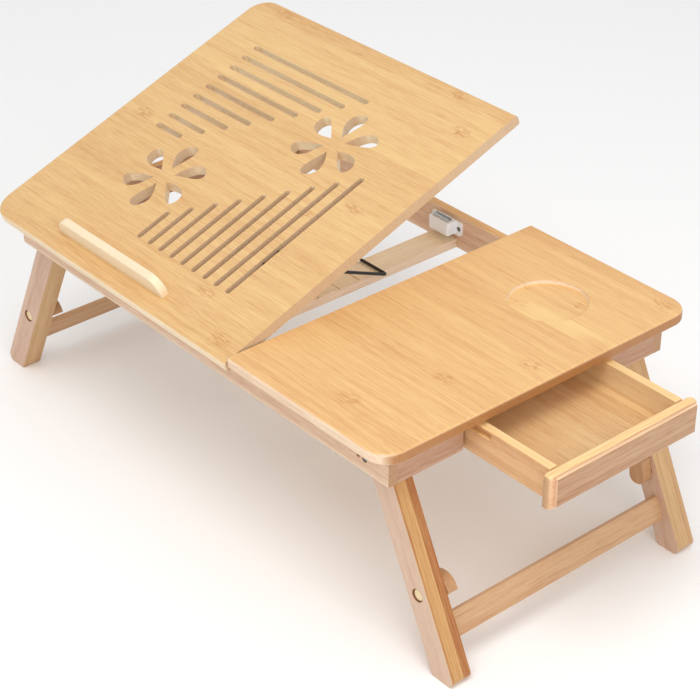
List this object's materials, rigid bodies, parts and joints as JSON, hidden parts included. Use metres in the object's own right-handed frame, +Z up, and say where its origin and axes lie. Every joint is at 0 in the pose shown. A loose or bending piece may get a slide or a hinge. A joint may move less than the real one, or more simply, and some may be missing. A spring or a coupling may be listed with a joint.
{
  "type": "laptop stand with drawer",
  "caption": "Folding bamboo bed tray laptop stand: hinged desk panel with cut slots and flowers, front ledge and wire prop, side panel with cup recess, end drawer, folding splayed legs.",
  "frame": {"origin": "middle of the bounding box's footprint at floor level, at rest: desk panel tilted up, drawer pulled out, legs open", "axes": "+X along the stand to the drawer end, +Y from the front edge to the back, +Z up"},
  "size_m": [0.6872, 0.3498, 0.3246],
  "materials": {
    "bamboo_top": "clear satin lacquer",
    "bamboo_frame": "clear satin lacquer",
    "bamboo_pale": "clear satin lacquer",
    "white_plastic": "satin moulded",
    "black_steel": "semi-gloss black",
    "zinc_steel": "zinc plated",
    "ferrite": "ground"
  },
  "bodies": {
    "frame": {"fixed_panel": "bamboo_top", "front_apron": "bamboo_frame", "back_apron": "bamboo_frame", "left_rail": "bamboo_frame", "right_rail_front": "bamboo_frame", "right_rail_back": "bamboo_frame", "cross_bar": "bamboo_frame", "drawer_guide_front": "bamboo_frame", "drawer_guide_back": "bamboo_frame", "drawer_runners": "bamboo_frame", "drawer_stop": "bamboo_frame", "catch_housing": "white_plastic", "catch_pole_plates": "zinc_steel", "catch_magnet": "ferrite", "catch_screws": "zinc_steel", "hinge_fixed_leaves": "zinc_steel", "hinge_pins": "zinc_steel", "hinge_fixed_screws": "zinc_steel", "leg_pivot_pins": "zinc_steel"},
    "desk_panel": {"tilt_panel": "bamboo_top", "ledge": "bamboo_pale", "ledge_dowels": "bamboo_pale", "strike_plate": "zinc_steel", "strike_screw": "zinc_steel", "hinge_moving_leaves": "zinc_steel", "hinge_moving_screws": "zinc_steel", "prop_saddles": "black_steel", "prop_saddle_screws": "black_steel"},
    "prop": {"prop_wire": "black_steel"},
    "drawer": {"drawer_front": "bamboo_frame", "drawer_side_front": "bamboo_frame", "drawer_side_back": "bamboo_frame", "drawer_back": "bamboo_frame", "drawer_face_plate": "bamboo_frame", "drawer_bottom": "bamboo_top"},
    "right_legs": {"leg_front_right": "bamboo_frame", "leg_back_right": "bamboo_frame", "stretcher_right": "bamboo_frame"},
    "left_legs": {"leg_front_left": "bamboo_frame", "leg_back_left": "bamboo_frame", "stretcher_left": "bamboo_frame"},
    "button_front_right": {"turn_button_front_right": "bamboo_frame", "button_dowel_front_right": "bamboo_pale"},
    "button_back_right": {"turn_button_back_right": "bamboo_frame", "button_dowel_back_right": "bamboo_pale"},
    "button_front_left": {"turn_button_front_left": "bamboo_frame", "button_dowel_front_left": "bamboo_pale"},
    "button_back_left": {"turn_button_back_left": "bamboo_frame", "button_dowel_back_left": "bamboo_pale"}
  },
  "joints": [
    {"name": "tilt_hinge", "type": "hinge", "parent": "frame", "child": "desk_panel", "pos_m": [-0.11336, -0.15813, 0.19885], "axis": [1, 0, 0], "range_deg": [-20.55, 15.9]},
    {"name": "prop_pivot", "type": "hinge", "parent": "desk_panel", "child": "prop", "pos_m": [-0.01956, -0.07056, 0.22851], "axis": [-1, 0, 0], "range_deg": [-35.3, 27.3]},
    {"name": "drawer_slide", "type": "slide", "parent": "frame", "child": "drawer", "axis": [1, 0, 0], "range_m": [-0.0905, 0.001]},
    {"name": "right_legs_fold", "type": "hinge", "parent": "frame", "child": "right_legs", "pos_m": [0.2114, 0.00187, 0.178], "axis": [0, 1, 0], "range_deg": [0, 115.8]},
    {"name": "left_legs_fold", "type": "hinge", "parent": "frame", "child": "left_legs", "pos_m": [-0.24812, 0.00187, 0.178], "axis": [0, -1, 0], "range_deg": [0, 115.8]},
    {"name": "button_front_right_turn", "type": "hinge", "parent": "right_legs", "child": "button_front_right", "pos_m": [0.26384, -0.11723, 0.06951], "axis": [0, 1, 0], "continuous": true},
    {"name": "button_back_right_turn", "type": "hinge", "parent": "right_legs", "child": "button_back_right", "pos_m": [0.26384, 0.11877, 0.06951], "axis": [0, 1, 0], "continuous": true},
    {"name": "button_front_left_turn", "type": "hinge", "parent": "left_legs", "child": "button_front_left", "pos_m": [-0.30057, -0.11723, 0.06951], "axis": [0, 1, 0], "continuous": true},
    {"name": "button_back_left_turn", "type": "hinge", "parent": "left_legs", "child": "button_back_left", "pos_m": [-0.30057, 0.11877, 0.06951], "axis": [0, 1, 0], "continuous": true}
  ],
  "couplings": [
    {"joint": "prop_pivot", "follows": "tilt_hinge", "ratio": 1.713}
  ]
}
